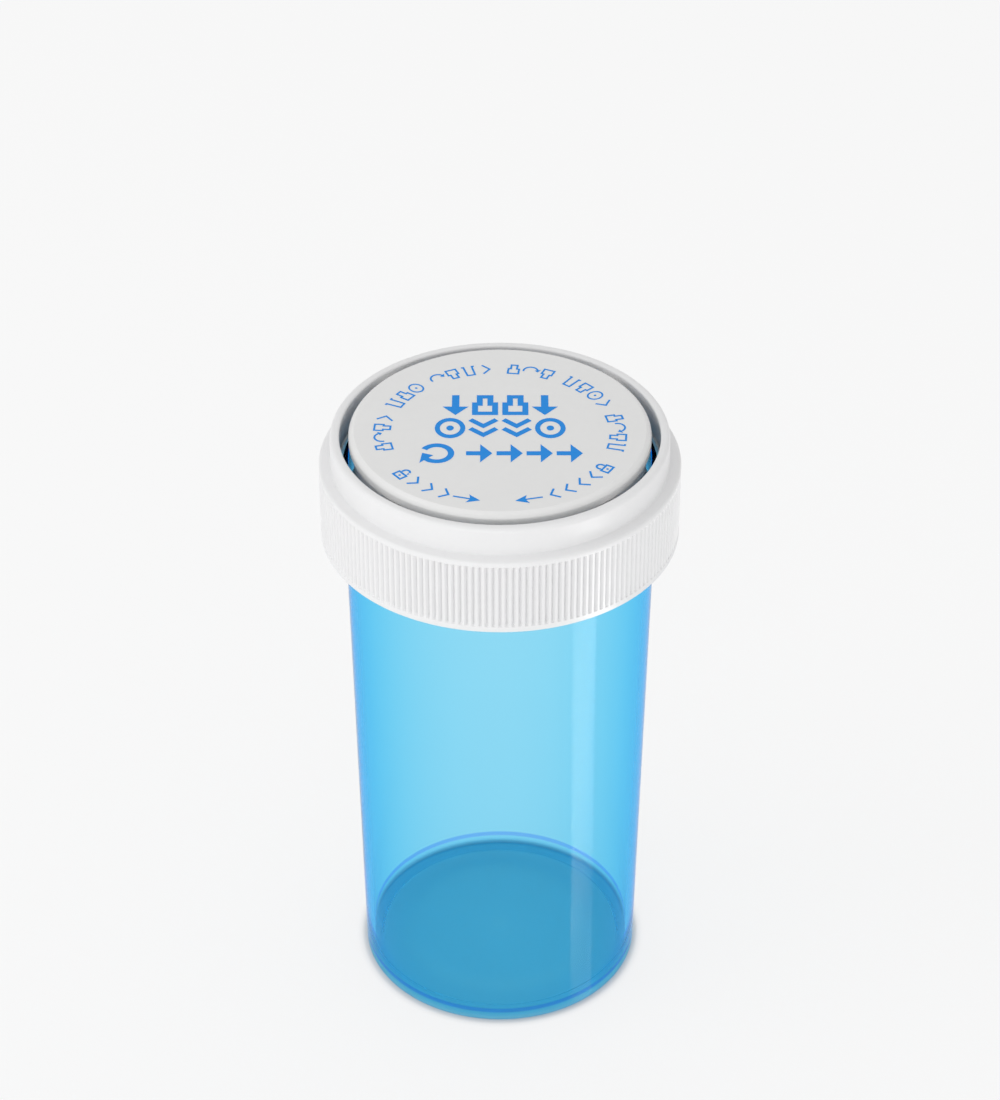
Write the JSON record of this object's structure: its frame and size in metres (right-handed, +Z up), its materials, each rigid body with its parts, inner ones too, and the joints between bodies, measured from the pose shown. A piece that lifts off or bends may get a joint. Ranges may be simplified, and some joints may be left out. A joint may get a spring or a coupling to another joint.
{
  "type": "prescription vial",
  "caption": "Tapered translucent pharmacy vial with a ribbed push-down-and-turn cap, a plug seal and a round disc in the cap's open collar.",
  "frame": {"origin": "centre of the ring that the vial stands on", "axes": "+Z up along the vial's axis, out of its mouth; -Y towards the front of the cap's printed face"},
  "size_m": [0.046, 0.046, 0.0844],
  "materials": {
    "vial_blue": "translucent moulded polypropylene, glossy",
    "cap_white": "satin moulded polypropylene",
    "plug_white": "satin moulded polypropylene with printed marks",
    "seal_clear": "natural soft polyethylene",
    "spring_white": "moulded acetal"
  },
  "bodies": {
    "vial": {"vial_body": "vial_blue"},
    "liner": {"seal_liner": "seal_clear"},
    "spring": {"wave_spring": "spring_white"},
    "cap": {"cap_shell": "cap_white", "top_plug": "plug_white"}
  },
  "joints": [
    {"name": "cap_lift", "type": "slide", "parent": "vial", "child": "liner", "axis": [0, 0, 1], "range_m": [0, 0.04]},
    {"name": "cap_turn", "type": "hinge", "parent": "liner", "child": "spring", "pos_m": [0, 0, 0.0774], "axis": [0, 0, 1], "range_deg": [0, 30]},
    {"name": "cap_push", "type": "slide", "parent": "spring", "child": "cap", "axis": [0, 0, -1], "range_m": [0, 0.0013], "stiffness_N_per_m": 8000, "springref_m": -0.0008, "deforming": ["wave_spring"]}
  ]
}
